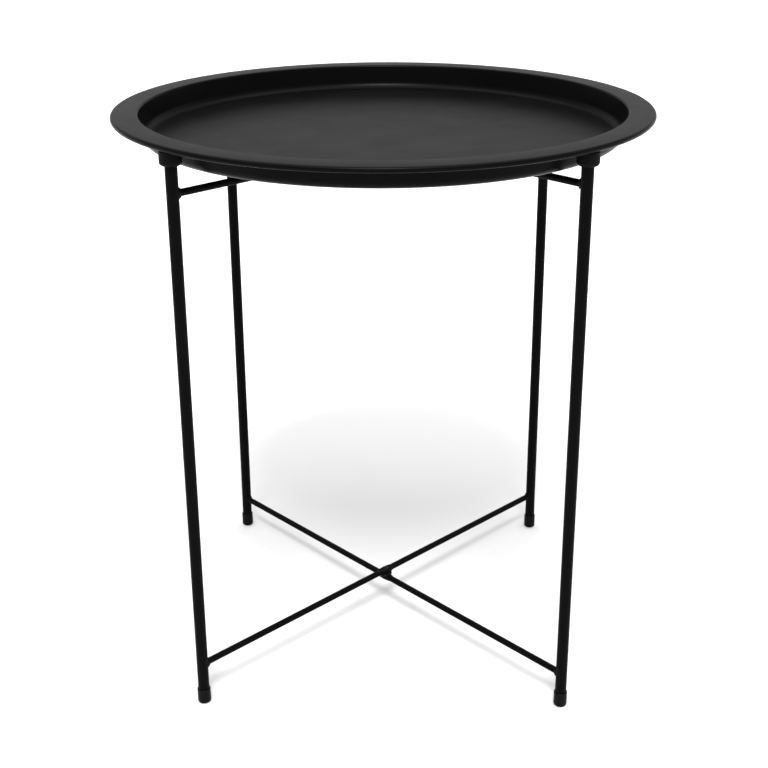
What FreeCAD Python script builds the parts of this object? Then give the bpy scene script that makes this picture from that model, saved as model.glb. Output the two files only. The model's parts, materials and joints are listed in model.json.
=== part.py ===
"""Folding tray table: a round pressed-steel tray that lifts off two welded leg frames.

Each frame is two upright tubes joined by a lower and an upper cross rod. The frames cross
at the middle of their rods, where two rivets on one vertical axis let the outer frame swing
round the inner one until the legs lie flat. Plastic clips on the tube tops carry the tray by
its rim, and plastic caps close the tube feet.

Frame: +Z is up, the floor is z = 0, and the origin is on the tray's axis. -Y is the front.
Units are millimetres.
"""

import FreeCAD
import Part

import math
import os

Vector = FreeCAD.Vector
UP = Vector(0, 0, 1)
ORIGIN = Vector(0, 0, 0)

# ---- overall sizes
table_height = 510.0  # floor to the top of the tray's rim
tray_diameter = 472.0  # over the rolled edge

# ---- tray: one pressed sheet, curled under at the edge
sheet = 0.8
tray_depth = 23.7  # top of the rim to the underside of the floor
rim_width = 23.4  # from the dish wall to the outside of the curl
wall_draft = 8.0  # degrees that the dish wall leans outward
floor_bend = 8.0  # inside radius between floor and wall
rim_bend = 2.0  # radius of the top edge of the dish
curl_radius = 2.4  # outside radius of the curled edge
curl_turn = 280.0  # degrees that the edge is curled

# ---- legs
tube_diameter = 10.0
tube_wall = 0.8
frame_spread = 90.0  # degrees between the two frames when the table is open

# ---- foot caps, slipped over the tubes
foot_wall = 0.85
foot_base = 2.6
foot_height = 14.0
foot_round = 2.2  # edge of the tread
foot_lip = 0.3  # bevel round the top of the cap

# ---- tray clips, pressed on the tube tops
clip_diameter = 18.0
clip_body_height = 11.8
clip_inset = 1.0  # how far a clip stands in from the tray's edge
clip_web = 2.0  # plastic above the tube's end
clip_round = 3.2  # lower edge
clip_edge = 0.7  # upper edge
boss_inset = 0.5  # step from the body in to the boss that the rim rests on
boss_clearance = 0.4  # boss to the curl outside it, and to the bend of the dish inside it
shoulder_clearance = 0.3  # shoulder to the underside of the curl

# ---- cross rods
lower_rod_diameter = 5.8
lower_rod_gap = 0.5  # between the two lower rods where they cross
lower_rod_height = 32.5  # floor to the centre of the outer frame's lower rod
lower_press = 0.75  # depth of the flat pressed into each side of a lower rod
upper_rod_diameter = 6.0
upper_rod_gap = 2.0
upper_rod_room = 5.0  # tray floor's underside to the top of the outer frame's upper rod
upper_press = 0.8
pad_length = 17.0  # pressed pad round each rivet hole
pad_swell = 2.0  # how much wider than its rod the pad is
pad_edge = 0.8  # rounding of the pad's rim
pad_ramp = 3.0  # length of the slope from the round rod down to the flat
weld_leg = 1.7
weld_reach = 2.2  # how far the weld runs out along the rod

# ---- pivots
rivet_diameter = 3.2
rivet_head_diameter = 7.0
rivet_head_height = 1.5
rivet_running_clearance = 0.05  # radial, in the outer frame's rods
pivot_play = 0.05  # axial, between the two frames' stacks
washer_diameter = 13.2
washer_edge = 0.3

# ---- what follows from them
tray_radius = tray_diameter / 2
tube_radius = tube_diameter / 2
clip_radius = clip_diameter / 2
leg_axis_radius = tray_radius - clip_inset - clip_radius
tray_underside = table_height - tray_depth
clip_shoulder = table_height - 2 * curl_radius - shoulder_clearance
clip_bottom = clip_shoulder - clip_body_height
tube_top = clip_shoulder - clip_web
outer_lower_z = lower_rod_height
inner_lower_z = outer_lower_z + lower_rod_diameter + lower_rod_gap
outer_upper_z = tray_underside - upper_rod_room - upper_rod_diameter / 2
inner_upper_z = outer_upper_z - upper_rod_diameter - upper_rod_gap
INNER_AZIMUTH = 45.0  # the inner frame runs from front left to back right
OUTER_AZIMUTH = INNER_AZIMUTH - frame_spread
MARGIN = 1.0  # how far a cut runs past what it cuts, or a joined piece starts inside the other
TOLERANCE = 1e-4


def in_plane(r, z):
    """A point of the X-Z half plane, at radius r and height z."""
    return Vector(r, 0, z)


def cylinder(radius, z0, z1, x=0.0):
    """An upright cylinder from height z0 to z1 whose axis is at (x, 0)."""
    return Part.makeCylinder(radius, z1 - z0, Vector(x, 0, z0), UP)


def along_x(radius, x0, x1, z):
    """A level cylinder along X from x0 to x1 at height z."""
    return Part.makeCylinder(radius, x1 - x0, Vector(x0, 0, z), Vector(1, 0, 0))


def turned(shape, degrees):
    """A copy of the shape turned about the table's axis."""
    copy = shape.copy()
    copy.rotate(ORIGIN, UP, degrees)
    return copy


def arc(centre, radius, start, end):
    """The arc in the X-Z plane about a centre, between two angles in degrees from +X."""
    points = []
    for angle in (start, (start + end) / 2, end):
        a = math.radians(angle)
        points.append(centre + Vector(radius * math.cos(a), 0, radius * math.sin(a)))
    return Part.Arc(*points).toShape()


def line(start, end):
    return Part.LineSegment(start, end).toShape()


def revolved(edges):
    """The solid made by turning a closed outline in the X-Z plane once round the table's axis."""
    wire = Part.Wire(Part.__sortEdges__(edges))
    return Part.Face(wire).revolve(ORIGIN, UP, 360)


def edges_at(shape, z, radius):
    """The round edges of one radius that lie level at height z."""
    found = []
    for edge in shape.Edges:
        if not isinstance(edge.Curve, Part.Circle):
            continue
        misfits = (edge.Curve.Radius - radius, edge.BoundBox.ZMin - z, edge.BoundBox.ZMax - z)
        if all(abs(misfit) < TOLERANCE for misfit in misfits):
            found.append(edge)
    return found


def tray_pan():
    """The tray: flat floor, leaning wall, flat rim and curled edge, all of one sheet thickness."""
    lean = math.radians(wall_draft)
    down = in_plane(-math.sin(lean), -math.cos(lean))
    inward = in_plane(-math.cos(lean), math.sin(lean))
    wall_top = in_plane(tray_radius - rim_width, table_height)
    floor_z = tray_underside + sheet

    # the two bends start at these distances down the wall's inside face
    bend_start = rim_bend * (1 - math.sin(lean)) / math.cos(lean)
    bend_end = (table_height - floor_z - floor_bend * (1 - math.sin(lean))) / math.cos(lean)
    upper_wall = wall_top + down * bend_start
    lower_wall = wall_top + down * bend_end
    floor_centre = lower_wall + inward * floor_bend
    rim_centre = upper_wall - inward * rim_bend
    curl_centre = in_plane(tray_radius - curl_radius, table_height - curl_radius)
    curl_end = 90 - curl_turn
    curl_way = in_plane(math.cos(math.radians(curl_end)), math.sin(math.radians(curl_end)))
    curl_outer = curl_centre + curl_way * curl_radius
    curl_inner = curl_centre + curl_way * (curl_radius - sheet)
    rim_underside = table_height - sheet

    edges = [
        line(in_plane(0, floor_z), in_plane(floor_centre.x, floor_z)),
        arc(floor_centre, floor_bend, -90, -wall_draft),
        line(lower_wall, upper_wall),
        arc(rim_centre, rim_bend, 180 - wall_draft, 90),
        line(in_plane(rim_centre.x, table_height), in_plane(curl_centre.x, table_height)),
        arc(curl_centre, curl_radius, 90, curl_end),
        line(curl_outer, curl_inner),
        arc(curl_centre, curl_radius - sheet, curl_end, 90),
        line(in_plane(curl_centre.x, rim_underside), in_plane(rim_centre.x, rim_underside)),
        arc(rim_centre, rim_bend - sheet, 90, 180 - wall_draft),
        line(upper_wall - inward * sheet, lower_wall - inward * sheet),
        arc(floor_centre, floor_bend + sheet, -wall_draft, -90),
        line(in_plane(floor_centre.x, tray_underside), in_plane(0, tray_underside)),
        line(in_plane(0, tray_underside), in_plane(0, floor_z)),
    ]
    return revolved(edges)


def leg_tube():
    """One upright tube, standing on the base of its foot cap and ending inside its clip."""
    outside = cylinder(tube_radius, foot_base, tube_top, leg_axis_radius)
    inside = cylinder(tube_radius - tube_wall, foot_base - MARGIN, tube_top + MARGIN, leg_axis_radius)
    return outside.cut(inside)


def foot_cap():
    """A plastic cap over the foot of a tube, with a rounded tread."""
    cap_radius = tube_radius + foot_wall
    cap = cylinder(cap_radius, 0, foot_height, leg_axis_radius)
    cap = cap.makeFillet(foot_round, edges_at(cap, 0, cap_radius))
    cap = cap.makeChamfer(foot_lip, edges_at(cap, foot_height, cap_radius))
    return cap.cut(cylinder(tube_radius, foot_base, foot_height + MARGIN, leg_axis_radius))


def tray_clip():
    """A plastic clip on a tube top: the rim rests on its boss, with the curled edge outside."""
    body = cylinder(clip_radius, clip_bottom, clip_shoulder, leg_axis_radius)
    body = body.makeFillet(clip_round, edges_at(body, clip_bottom, clip_radius))
    body = body.makeFillet(clip_edge, edges_at(body, clip_shoulder, clip_radius))
    rim_underside = table_height - sheet
    boss_radius = clip_radius - clip_edge - boss_inset
    boss = cylinder(boss_radius, clip_shoulder - MARGIN, rim_underside, leg_axis_radius)
    curl_inside = tray_radius - 2 * curl_radius - boss_clearance
    dish_outside = tray_radius - rim_width + rim_bend + boss_clearance
    boss = boss.common(cylinder(curl_inside, clip_bottom, rim_underside + MARGIN))
    boss = boss.cut(cylinder(dish_outside, clip_shoulder, rim_underside + MARGIN))
    socket = cylinder(tube_radius, clip_bottom - MARGIN, tube_top, leg_axis_radius)
    return body.fuse(boss).removeSplitter().cut(socket)


def press_tool(radius, press, z, side):
    """What a flat with sloping ends takes from a rod along X, above it (side 1) or below (-1)."""
    flat = z + side * (radius - press)
    clear = z + side * (radius + MARGIN)
    half = pad_length / 2
    slope = pad_ramp * (MARGIN + press) / press
    outline = [
        Vector(-half, 0, flat),
        Vector(half, 0, flat),
        Vector(half + slope, 0, clear),
        Vector(-half - slope, 0, clear),
    ]
    face = Part.Face(Part.makePolygon(outline + outline[:1]))
    depth = 2 * (radius + pad_swell)
    block = face.extrude(Vector(0, depth, 0))
    block.translate(Vector(0, -depth / 2, 0))
    return block


def pressed_pad(radius, press, z):
    """The flat oval pad that the rod's metal spreads into round the rivet."""
    thickness = 2 * (radius - press)
    length = pad_length / 2 + pad_ramp
    oval = Part.Ellipse(Vector(0, 0, z - thickness / 2), length, radius + pad_swell / 2)
    pad = Part.Face(Part.Wire(oval.toShape())).extrude(Vector(0, 0, thickness))
    rims = [edge for edge in pad.Edges if isinstance(edge.Curve, Part.Ellipse)]
    return pad.makeFillet(pad_edge, rims)


def cross_rod(diameter, press, z, hole_radius):
    """A rod along X between two tubes, pressed flat and pierced at the middle for its rivet."""
    radius = diameter / 2
    rod = along_x(radius, -leg_axis_radius, leg_axis_radius, z)
    for side in (1, -1):
        rod = rod.cut(press_tool(radius, press, z, side))
    rod = rod.fuse(pressed_pad(radius, press, z))
    rod = rod.cut(cylinder(hole_radius, z - diameter, z + diameter))
    for x in (-leg_axis_radius, leg_axis_radius):
        rod = rod.cut(cylinder(tube_radius, z - diameter, z + diameter, x))
    return rod.removeSplitter()


def weld_bead(diameter, z):
    """The fillet weld between a tube and the end of a rod at +X, coned out to the tube's face."""
    rod_radius = diameter / 2
    toe = leg_axis_radius - tube_radius
    start = toe - weld_reach
    root = leg_axis_radius - math.sqrt(max(tube_radius**2 - (rod_radius + weld_leg) ** 2, 0))
    length = root - start
    wide_radius = rod_radius + weld_leg * length / weld_reach
    tip = Vector(start, 0, z)
    bead = Part.makeCone(rod_radius, wide_radius, length, tip, Vector(1, 0, 0))
    bead = bead.cut(along_x(rod_radius, start - MARGIN, leg_axis_radius, z))
    return bead.cut(cylinder(tube_radius, z - 2 * diameter, z + 2 * diameter, leg_axis_radius))


def frame_welds(lower_z, upper_z):
    """The four welds of one frame, as separate solids."""
    beads = []
    for diameter, z in ((lower_rod_diameter, lower_z), (upper_rod_diameter, upper_z)):
        bead = weld_bead(diameter, z)
        beads += [bead, turned(bead, 180)]
    return Part.makeCompound(beads)


def pivot_rivet(low_face, high_face):
    """A rivet on the table's axis with a domed head past each of the two faces that it holds."""
    shank = rivet_diameter / 2
    rim = rivet_head_diameter / 2
    dome = (rim**2 + rivet_head_height**2) / (2 * rivet_head_height)
    half_angle = math.degrees(math.asin(rim / dome))
    top_centre = in_plane(0, high_face + rivet_head_height - dome)
    low_centre = in_plane(0, low_face - rivet_head_height + dome)
    edges = [
        arc(top_centre, dome, 90, 90 - half_angle),
        line(in_plane(rim, high_face), in_plane(shank, high_face)),
        line(in_plane(shank, high_face), in_plane(shank, low_face)),
        line(in_plane(shank, low_face), in_plane(rim, low_face)),
        arc(low_centre, dome, half_angle - 90, -90),
        line(in_plane(0, low_face - rivet_head_height), in_plane(0, high_face + rivet_head_height)),
    ]
    return revolved(edges)


def pivot_washer(z0, z1):
    """The spacer between the two rods of a crossing."""
    ring = cylinder(washer_diameter / 2, z0, z1)
    ring = ring.makeChamfer(washer_edge, edges_at(ring, z0, washer_diameter / 2))
    ring = ring.makeChamfer(washer_edge, edges_at(ring, z1, washer_diameter / 2))
    return ring.cut(cylinder(rivet_diameter / 2, z0 - MARGIN, z1 + MARGIN))


def build():
    """Every piece of the table, by name."""
    parts = {"tray_pan": tray_pan()}

    places = {
        "front_left": INNER_AZIMUTH + 180,
        "back_right": INNER_AZIMUTH,
        "front_right": OUTER_AZIMUTH,
        "back_left": OUTER_AZIMUTH + 180,
    }
    tube, cap, clip = leg_tube(), foot_cap(), tray_clip()
    for place, azimuth in places.items():
        parts["leg_tube_" + place] = turned(tube, azimuth)
        parts["foot_cap_" + place] = turned(cap, azimuth)
        parts["tray_clip_" + place] = turned(clip, azimuth)

    tight = rivet_diameter / 2
    running = tight + rivet_running_clearance
    frames = (
        ("inner", INNER_AZIMUTH, inner_lower_z, inner_upper_z, tight),
        ("outer", OUTER_AZIMUTH, outer_lower_z, outer_upper_z, running),
    )
    for frame, azimuth, lower_z, upper_z, hole in frames:
        lower = cross_rod(lower_rod_diameter, lower_press, lower_z, hole)
        upper = cross_rod(upper_rod_diameter, upper_press, upper_z, hole)
        parts[frame + "_lower_rod"] = turned(lower, azimuth)
        parts[frame + "_upper_rod"] = turned(upper, azimuth)
        parts[frame + "_frame_welds"] = turned(frame_welds(lower_z, upper_z), azimuth)

    # the outer frame's rods run between the faces of the riveted stacks with a little play
    inner_half = lower_rod_diameter / 2 - lower_press
    outer_half = inner_half + pivot_play
    parts["lower_pivot_rivet"] = pivot_rivet(outer_lower_z - outer_half, inner_lower_z + inner_half)
    parts["lower_pivot_washer"] = pivot_washer(outer_lower_z + outer_half, inner_lower_z - inner_half)
    inner_half = upper_rod_diameter / 2 - upper_press
    outer_half = inner_half + pivot_play
    parts["upper_pivot_rivet"] = pivot_rivet(inner_upper_z - inner_half, outer_upper_z + outer_half)
    parts["upper_pivot_washer"] = pivot_washer(inner_upper_z + inner_half, outer_upper_z - outer_half)
    return parts


def main():
    os.makedirs("parts", exist_ok=True)
    for name, shape in build().items():
        for solid in shape.Solids:
            if not solid.isValid() or solid.Volume <= 0:
                raise ValueError("bad solid in " + name)
        shape.exportStep(os.path.join("parts", name + ".step"))
        print(name, len(shape.Solids), round(shape.Volume, 1))


main()
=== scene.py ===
"""The folding tray table as the eye sees it: powder-coated steel, moulded plastic, studio light.

Lengths are metres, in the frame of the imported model: the floor is z = 0 and -Y is the front.
"""

import json
import math

import bmesh
import bpy
from mathutils import Matrix, Vector


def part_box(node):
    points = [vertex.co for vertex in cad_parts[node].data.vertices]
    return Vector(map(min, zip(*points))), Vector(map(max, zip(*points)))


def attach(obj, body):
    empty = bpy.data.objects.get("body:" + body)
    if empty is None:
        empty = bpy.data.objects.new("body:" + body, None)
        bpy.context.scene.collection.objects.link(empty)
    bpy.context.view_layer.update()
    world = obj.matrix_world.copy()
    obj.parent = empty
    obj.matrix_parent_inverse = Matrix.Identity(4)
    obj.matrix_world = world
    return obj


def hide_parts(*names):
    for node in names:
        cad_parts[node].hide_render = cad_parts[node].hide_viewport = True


MM = 0.001

# ---- tray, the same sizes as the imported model's
TRAY_RADIUS = 236.0 * MM
RIM_HEIGHT = 510.0 * MM
SHEET = 0.8 * MM
TRAY_DEPTH = 23.7 * MM
RIM_WIDTH = 23.4 * MM
WALL_DRAFT = math.radians(8.0)
FLOOR_BEND = 8.0 * MM
RIM_BEND = 2.0 * MM
CURL_RADIUS = 2.4 * MM
CURL_END = math.radians(-190.0)
FLOOR_RINGS = (0.0, 0.25, 0.5, 0.75, 0.95)  # rings of points on the flat, as shares of its radius
STEPS_AROUND = 256

# ---- welds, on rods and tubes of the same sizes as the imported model's
TUBE_RADIUS = 5.0 * MM
LEG_AXIS_RADIUS = 226.0 * MM
ROD_RADIUS = {"lower": 2.9 * MM, "upper": 3.0 * MM}
FRAME_AZIMUTH = {"inner": math.radians(45), "outer": math.radians(-45)}
WELD_LEG = 1.7 * MM
WELD_REACH = 2.2 * MM
WELD_RIPPLES = 15
RIPPLE_DEPTH = 0.09  # how far a ripple swells or thins the bead, as a share of its size
WANDER_WAVES = 3
WANDER_DEPTH = 0.06  # the same for the slower waves under the ripples
WELD_BULGE = 0.21  # how far the middle of the bead stands out, as a share of its leg
ROD_OVERLAP = 0.15 * MM  # how deep the bead starts in the rod
TUBE_OVERLAP = 0.2 * MM  # how deep it ends in the tube
WIDEST_ON_TUBE = 0.98  # how far across the tube its wall is followed, as a share of its radius

# ---- camera
CAMERA_DISTANCE = 1110.5 * MM
CAMERA_HEIGHT = 721.1 * MM
CAMERA_SIDE = -2.2 * MM
CAMERA_TURN = math.radians(1.42)
CAMERA_YAW = math.radians(0.11)
CAMERA_PITCH = math.radians(20.21)
CAMERA_ROLL = math.radians(-0.26)
CAMERA_SENSOR = 36  # millimetres, as is the lens
CAMERA_LENS = 59.45
CAMERA_SHIFT_Y = -0.0897

# ---- grain of the powder coat and of the plastic
NOISE_RANGE = (0.3, 0.7)  # where most of a noise's values lie
PEEL_SIZE = 2.4 * MM
PEEL_HEIGHT = 0.022 * MM
COAT_GRAIN_SIZE = 0.45 * MM
COAT_GRAIN_HEIGHT = 0.016 * MM
SPECK_SPACING = 3.5 * MM
SPECK_EDGE = (0.05, 0.14)  # where a speck falls away, in spacings from its middle
SPECK_HEIGHT = 0.012 * MM
PATCH_SIZE = 38 * MM
SINK_SIZE = 6 * MM
SINK_HEIGHT = 0.05 * MM
MOULD_GRAIN_SIZE = 0.3 * MM
MOULD_GRAIN_HEIGHT = 0.02 * MM
SCRATCH_SIZE = 1.1 * MM
SCRATCH_LEVELS = (0.5, 0.62)  # of the noise, from unworn to worn
CLIP_SCUFF = 1 * MM  # height above the floor that scuffs reach
FOOT_SCUFF = 3 * MM
SCUFF_PALENESS = 3.5  # times the plastic's own tone

# ---- light, as radiance: 1 is the white of the picture
ROOM_FRONT = 0.5
ROOM_BACK = 0.66
ROOM_TOP = 2.6
WALL_SPAN = (-0.6, 0.8)  # where front fades into back, by the Y of a direction
OVERHEAD_SPAN = (0.6, 0.9)  # where the top fades in, by the Z of a direction
KEY_STRENGTH = 3.3
KEY_WIDTH = math.radians(16)
KEY_TILT = math.radians(33)
FLOOR_REACH = 40.0
FLOOR_TONES = (0.6, 0.64)
FLOOR_ROUGHNESS = 0.9
FLOOR_GLOSS = 0.1
HAZE_SIZE = 0.4


def link(obj):
    bpy.context.scene.collection.objects.link(obj)
    return obj


def grey(tone):
    return (tone, tone, tone)


def map_range(tree, value, ins, outs, interpolation="LINEAR"):
    """A node that carries the range ins over to the range outs."""
    node = tree.nodes.new("ShaderNodeMapRange")
    node.interpolation_type = interpolation
    tree.links.new(value, node.inputs["Value"])
    for name, number in zip(("From Min", "From Max", "To Min", "To Max"), (*ins, *outs)):
        node.inputs[name].default_value = number
    return node.outputs["Result"]


def mesh_object(name, bm):
    """A smooth-shaded object made from a bmesh."""
    mesh = bpy.data.meshes.new(name)
    bmesh.ops.recalc_face_normals(bm, faces=bm.faces)
    bm.to_mesh(mesh)
    bm.free()
    mesh.polygons.foreach_set("use_smooth", [True] * len(mesh.polygons))
    return link(bpy.data.objects.new(name, mesh))


class Nodes:
    """A few short words for building a material's node tree."""

    def __init__(self, name):
        self.material = bpy.data.materials.new(name)
        self.material.use_nodes = True
        self.tree = self.material.node_tree
        self.shader = self.tree.nodes["Principled BSDF"]
        self.place = self.add("ShaderNodeTexCoord").outputs["Object"]

    def add(self, kind, **settings):
        node = self.tree.nodes.new(kind)
        for key, value in settings.items():
            setattr(node, key, value)
        return node

    def join(self, source, target):
        self.tree.links.new(source, target)

    def noise(self, size, detail, roughness=0.5):
        """Noise whose lumps are about this many metres across."""
        node = self.add("ShaderNodeTexNoise")
        self.join(self.place, node.inputs["Vector"])
        node.inputs["Scale"].default_value = 1 / size
        node.inputs["Detail"].default_value = detail
        node.inputs["Roughness"].default_value = roughness
        return node.outputs["Fac"]

    def spots(self, size):
        """Distance from the nearest of many scattered points this many metres apart."""
        node = self.add("ShaderNodeTexVoronoi")
        self.join(self.place, node.inputs["Vector"])
        node.inputs["Scale"].default_value = 1 / size
        return node.outputs["Distance"]

    def spread(self, value, ins, outs):
        return map_range(self.tree, value, ins, outs)

    def between(self, value, low, high):
        """A colour from low to high as the value goes from 0 to 1."""
        node = self.add("ShaderNodeMix", data_type="RGBA")
        self.join(value, node.inputs["Factor"])
        node.inputs["A"].default_value = (*low, 1)
        node.inputs["B"].default_value = (*high, 1)
        return node.outputs["Result"]

    def bump(self, value, height, under=None):
        """Bumps this many metres high where the value goes from 0 to 1, over any earlier bumps."""
        node = self.add("ShaderNodeBump")
        node.inputs["Distance"].default_value = height
        self.join(value, node.inputs["Height"])
        if under is not None:
            self.join(under, node.inputs["Normal"])
        return node.outputs["Normal"]


def powder_coat(name, tones, roughness, gloss):
    """Black powder coat: fine grain over orange peel, uneven sheen, and a few raised specks."""
    m = Nodes(name)
    peel = m.noise(PEEL_SIZE, detail=1.0)
    grain = m.noise(COAT_GRAIN_SIZE, detail=3.0, roughness=0.6)
    patches = m.noise(PATCH_SIZE, detail=4.0, roughness=0.55)
    specks = m.spread(m.spots(SPECK_SPACING), SPECK_EDGE, (1, 0))
    dark, light = tones
    colour = m.between(m.spread(patches, NOISE_RANGE, (0, 1)), grey(dark), grey(light))
    m.join(colour, m.shader.inputs["Base Color"])
    m.join(m.spread(patches, NOISE_RANGE, roughness), m.shader.inputs["Roughness"])
    normal = m.bump(peel, PEEL_HEIGHT)
    normal = m.bump(grain, COAT_GRAIN_HEIGHT, normal)
    normal = m.bump(specks, SPECK_HEIGHT, normal)
    m.join(normal, m.shader.inputs["Normal"])
    m.shader.inputs["Specular IOR Level"].default_value = gloss
    return m.material


def moulded_plastic(name, tone, roughness, gloss, scuff_height):
    """Matte black plastic with a spark-eroded grain, paler where it has scuffed near the floor."""
    m = Nodes(name)
    grain = m.noise(MOULD_GRAIN_SIZE, detail=2.0, roughness=0.7)
    sink = m.noise(SINK_SIZE, detail=1.0)
    scratches = m.noise(SCRATCH_SIZE, detail=5.0, roughness=0.75)
    axes = m.add("ShaderNodeSeparateXYZ")
    m.join(m.place, axes.inputs["Vector"])
    worn = m.add("ShaderNodeMath", operation="MULTIPLY")
    m.join(m.spread(axes.outputs["Z"], (0, scuff_height), (1, 0)), worn.inputs[0])
    m.join(m.spread(scratches, SCRATCH_LEVELS, (0, 1)), worn.inputs[1])
    colour = m.between(worn.outputs["Value"], grey(tone), grey(tone * SCUFF_PALENESS))
    m.join(colour, m.shader.inputs["Base Color"])
    m.join(m.spread(sink, NOISE_RANGE, roughness), m.shader.inputs["Roughness"])
    normal = m.bump(sink, SINK_HEIGHT)
    normal = m.bump(grain, MOULD_GRAIN_HEIGHT, normal)
    m.join(normal, m.shader.inputs["Normal"])
    m.shader.inputs["Specular IOR Level"].default_value = gloss
    return m.material


def pale_floor():
    """Matte pale paint with a faint haze."""
    m = Nodes("floor_paint")
    haze = m.spread(m.noise(HAZE_SIZE, detail=3.0), NOISE_RANGE, (0, 1))
    dark, light = FLOOR_TONES
    m.join(m.between(haze, grey(dark), grey(light)), m.shader.inputs["Base Color"])
    m.shader.inputs["Roughness"].default_value = FLOOR_ROUGHNESS
    m.shader.inputs["Specular IOR Level"].default_value = FLOOR_GLOSS
    return m.material


def arc(centre_r, centre_z, radius, start, end, steps):
    """Points of an arc in the profile plane, ends included."""
    points = []
    for i in range(steps + 1):
        a = start + (end - start) * i / steps
        points.append((centre_r + radius * math.cos(a), centre_z + radius * math.sin(a)))
    return points


def tray_profile():
    """The outline of the tray's sheet, from the middle out over the rim and back underneath."""
    right = math.pi / 2
    lean_r, lean_z = math.sin(WALL_DRAFT), math.cos(WALL_DRAFT)
    floor_z = RIM_HEIGHT - TRAY_DEPTH + SHEET
    top_r = TRAY_RADIUS - RIM_WIDTH
    bend_start = RIM_BEND * (1 - lean_r) / lean_z
    bend_end = (RIM_HEIGHT - floor_z - FLOOR_BEND * (1 - lean_r)) / lean_z
    upper_r, upper_z = top_r - lean_r * bend_start, RIM_HEIGHT - lean_z * bend_start
    lower_r, lower_z = top_r - lean_r * bend_end, RIM_HEIGHT - lean_z * bend_end
    rim_r, rim_z = upper_r + lean_z * RIM_BEND, upper_z - lean_r * RIM_BEND
    floor_r, bend_z = lower_r - lean_z * FLOOR_BEND, lower_z + lean_r * FLOOR_BEND
    curl_r, curl_z = TRAY_RADIUS - CURL_RADIUS, RIM_HEIGHT - CURL_RADIUS

    top = [(floor_r * share, floor_z) for share in FLOOR_RINGS]
    top += arc(floor_r, bend_z, FLOOR_BEND, -right, -WALL_DRAFT, steps=10)
    top += arc(rim_r, rim_z, RIM_BEND, 2 * right - WALL_DRAFT, right, steps=10)
    top += arc(curl_r, curl_z, CURL_RADIUS, right, CURL_END, steps=30)
    under = arc(curl_r, curl_z, CURL_RADIUS - SHEET, CURL_END, right, steps=20)
    under += arc(rim_r, rim_z, RIM_BEND - SHEET, right, 2 * right - WALL_DRAFT, steps=6)
    under += arc(floor_r, bend_z, FLOOR_BEND + SHEET, -WALL_DRAFT, -right, steps=10)
    under += [(floor_r * share, floor_z - SHEET) for share in reversed(FLOOR_RINGS)]
    return top + under


def turned_mesh(name, profile, steps):
    """The surface made by turning a profile once round the Z axis. Its ends may lie on the axis."""
    bm = bmesh.new()
    rings = []
    for r, z in profile:
        if r == 0:
            rings.append([bm.verts.new((0, 0, z))])
            continue
        ring = []
        for i in range(steps):
            a = 2 * math.pi * i / steps
            ring.append(bm.verts.new((r * math.cos(a), r * math.sin(a), z)))
        rings.append(ring)
    for one, two in zip(rings, rings[1:]):
        for i in range(steps):
            j = (i + 1) % steps
            corners = [one[i % len(one)], one[j % len(one)], two[j % len(two)], two[i % len(two)]]
            bm.faces.new(list(dict.fromkeys(corners)))
    return mesh_object(name, bm)


def add_tray(coat):
    tray = turned_mesh("tray_shell", tray_profile(), STEPS_AROUND)
    tray.data.materials.append(coat)
    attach(tray, "tray")
    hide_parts("tray_pan")


def weld_ring(bm, rod_radius, height, azimuth):
    """One rippled fillet weld round the end of a rod, added to the mesh at its place on the tube."""
    around, across = 72, 8
    place = Matrix.Rotation(azimuth, 4, "Z") @ Matrix.Translation((0, 0, height))
    rings = []
    for i in range(around):
        phi = 2 * math.pi * i / around
        wander = WANDER_DEPTH * math.sin(WANDER_WAVES * phi + azimuth)
        size = 1 + RIPPLE_DEPTH * math.sin(WELD_RIPPLES * phi) + wander
        ring = []
        for k in range(across + 1):
            share = k / across
            bulge = WELD_BULGE * WELD_LEG * size * math.sin(math.pi * share)
            rise = (WELD_LEG * size + ROD_OVERLAP) * share
            out = rod_radius - ROD_OVERLAP + rise + bulge
            across_tube = min(out * abs(math.cos(phi)), TUBE_RADIUS * WIDEST_ON_TUBE)
            wall = LEG_AXIS_RADIUS - math.sqrt(TUBE_RADIUS**2 - across_tube**2)
            x = wall + TUBE_OVERLAP * share - WELD_REACH * size * (1 - share) - bulge
            point = Vector((x, out * math.cos(phi), out * math.sin(phi)))
            ring.append(bm.verts.new(place @ point))
        rings.append(ring)
    for i in range(around):
        one, two = rings[i], rings[(i + 1) % around]
        for k in range(across):
            bm.faces.new((one[k], one[k + 1], two[k + 1], two[k]))


def add_welds(frame_name, coat):
    """The weld beads of one leg frame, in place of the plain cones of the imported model."""
    bm = bmesh.new()
    for level, rod_radius in ROD_RADIUS.items():
        low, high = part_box(frame_name + "_" + level + "_rod")
        height = (low.z + high.z) / 2
        azimuth = FRAME_AZIMUTH[frame_name]
        weld_ring(bm, rod_radius, height, azimuth)
        weld_ring(bm, rod_radius, height, azimuth + math.pi)
    beads = mesh_object(frame_name + "_weld_beads", bm)
    beads.data.materials.append(coat)
    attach(beads, frame_name + "_frame")
    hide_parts(frame_name + "_frame_welds")


def dress(nodes, subparts, materials):
    """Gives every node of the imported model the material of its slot."""
    for entry in subparts:
        slots = nodes[entry["node"]].data.materials
        slots.clear()
        slots.append(materials[entry["material_slot"]])


def add_key():
    """A broad soft light from high up on the camera's side."""
    light = bpy.data.lights.new("key", "SUN")
    light.energy = KEY_STRENGTH
    light.angle = KEY_WIDTH
    link(bpy.data.objects.new("key", light)).rotation_euler = (KEY_TILT, 0, 0)


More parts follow.
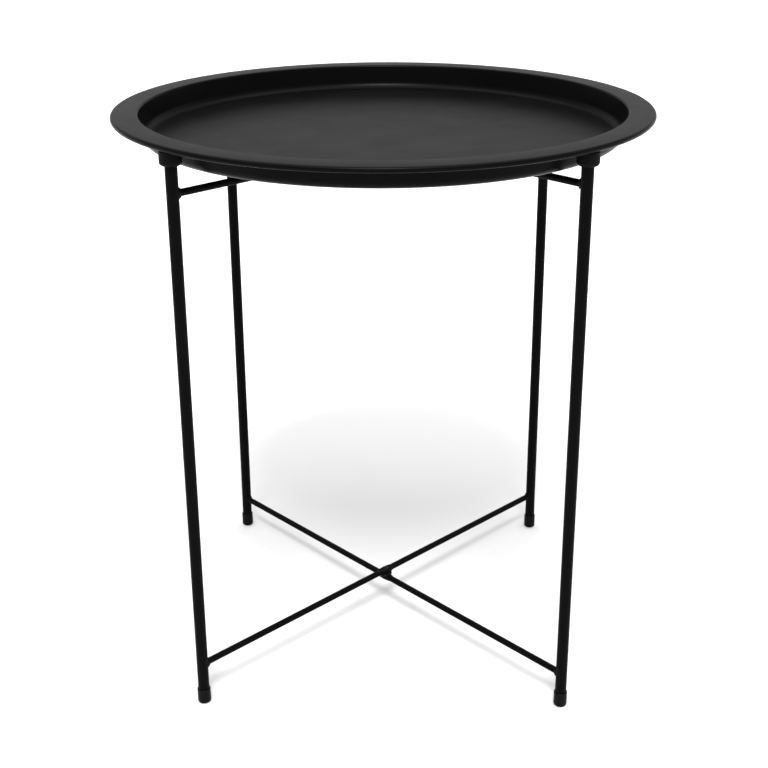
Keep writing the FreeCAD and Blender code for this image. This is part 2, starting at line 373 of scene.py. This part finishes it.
def add_room():
    """The room's light: dim on the camera's side, brighter beyond the table, brightest overhead."""
    world = bpy.data.worlds.new("studio")
    world.use_nodes = True
    tree = world.node_tree
    direction = tree.nodes.new("ShaderNodeTexCoord")
    axes = tree.nodes.new("ShaderNodeSeparateXYZ")
    tree.links.new(direction.outputs["Generated"], axes.inputs["Vector"])
    back, up = axes.outputs["Y"], axes.outputs["Z"]
    walls = map_range(tree, back, WALL_SPAN, (ROOM_FRONT, ROOM_BACK), "SMOOTHSTEP")
    overhead = map_range(tree, up, OVERHEAD_SPAN, (0, ROOM_TOP), "SMOOTHSTEP")
    level = tree.nodes.new("ShaderNodeMath")
    tree.links.new(walls, level.inputs[0])
    tree.links.new(overhead, level.inputs[1])
    background = tree.nodes["Background"]
    background.inputs["Color"].default_value = (1, 1, 1, 1)
    tree.links.new(level.outputs["Value"], background.inputs["Strength"])
    bpy.context.scene.world = world


def add_floor():
    bm = bmesh.new()
    bmesh.ops.create_grid(bm, x_segments=8, y_segments=8, size=FLOOR_REACH)
    floor = mesh_object("floor", bm)
    floor.data.materials.append(pale_floor())


def add_camera():
    """The camera: in front of the table, a little to one side, looking down 20 degrees."""
    camera = bpy.data.cameras.new("camera")
    camera.sensor_width = CAMERA_SENSOR
    camera.lens = CAMERA_LENS
    camera.shift_y = CAMERA_SHIFT_Y
    obj = link(bpy.data.objects.new("camera", camera))
    turn = Matrix.Rotation(CAMERA_TURN, 4, "Z")
    place = Matrix.Translation((CAMERA_SIDE, -CAMERA_DISTANCE, CAMERA_HEIGHT))
    look = Matrix.Rotation(-CAMERA_YAW, 4, "Z") @ Matrix.Rotation(math.pi / 2 - CAMERA_PITCH, 4, "X")
    obj.matrix_world = turn @ place @ look @ Matrix.Rotation(CAMERA_ROLL, 4, "Z")
    bpy.context.scene.camera = obj


with open("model.json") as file:
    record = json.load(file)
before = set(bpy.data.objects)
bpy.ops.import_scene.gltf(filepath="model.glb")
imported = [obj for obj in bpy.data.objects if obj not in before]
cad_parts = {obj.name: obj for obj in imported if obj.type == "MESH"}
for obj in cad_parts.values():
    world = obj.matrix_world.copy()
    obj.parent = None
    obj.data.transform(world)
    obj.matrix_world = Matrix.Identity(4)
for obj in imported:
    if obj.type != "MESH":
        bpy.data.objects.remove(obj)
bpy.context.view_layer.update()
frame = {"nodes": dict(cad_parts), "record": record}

# tone (or darkest and lightest), range of roughness, gloss, and how high scuffs reach on plastic
materials = {
    "tray_coat": powder_coat("tray_coat", (0.0016, 0.0022), (0.29, 0.34), 0.036),
    "frame_coat": powder_coat("frame_coat", (0.0014, 0.002), (0.44, 0.52), 0.034),
    "pivot_coat": powder_coat("pivot_coat", (0.0024, 0.004), (0.4, 0.5), 0.07),
    "clip_plastic": moulded_plastic("clip_plastic", 0.002, (0.5, 0.6), 0.06, CLIP_SCUFF),
    "foot_plastic": moulded_plastic("foot_plastic", 0.0022, (0.45, 0.55), 0.07, FOOT_SCUFF),
}
dress(frame["nodes"], frame["record"]["subparts"], materials)
add_tray(materials["tray_coat"])
add_welds("inner", materials["frame_coat"])
add_welds("outer", materials["frame_coat"])
add_room()
add_key()
add_floor()
add_camera()
bpy.context.scene.view_settings.view_transform = "Standard"
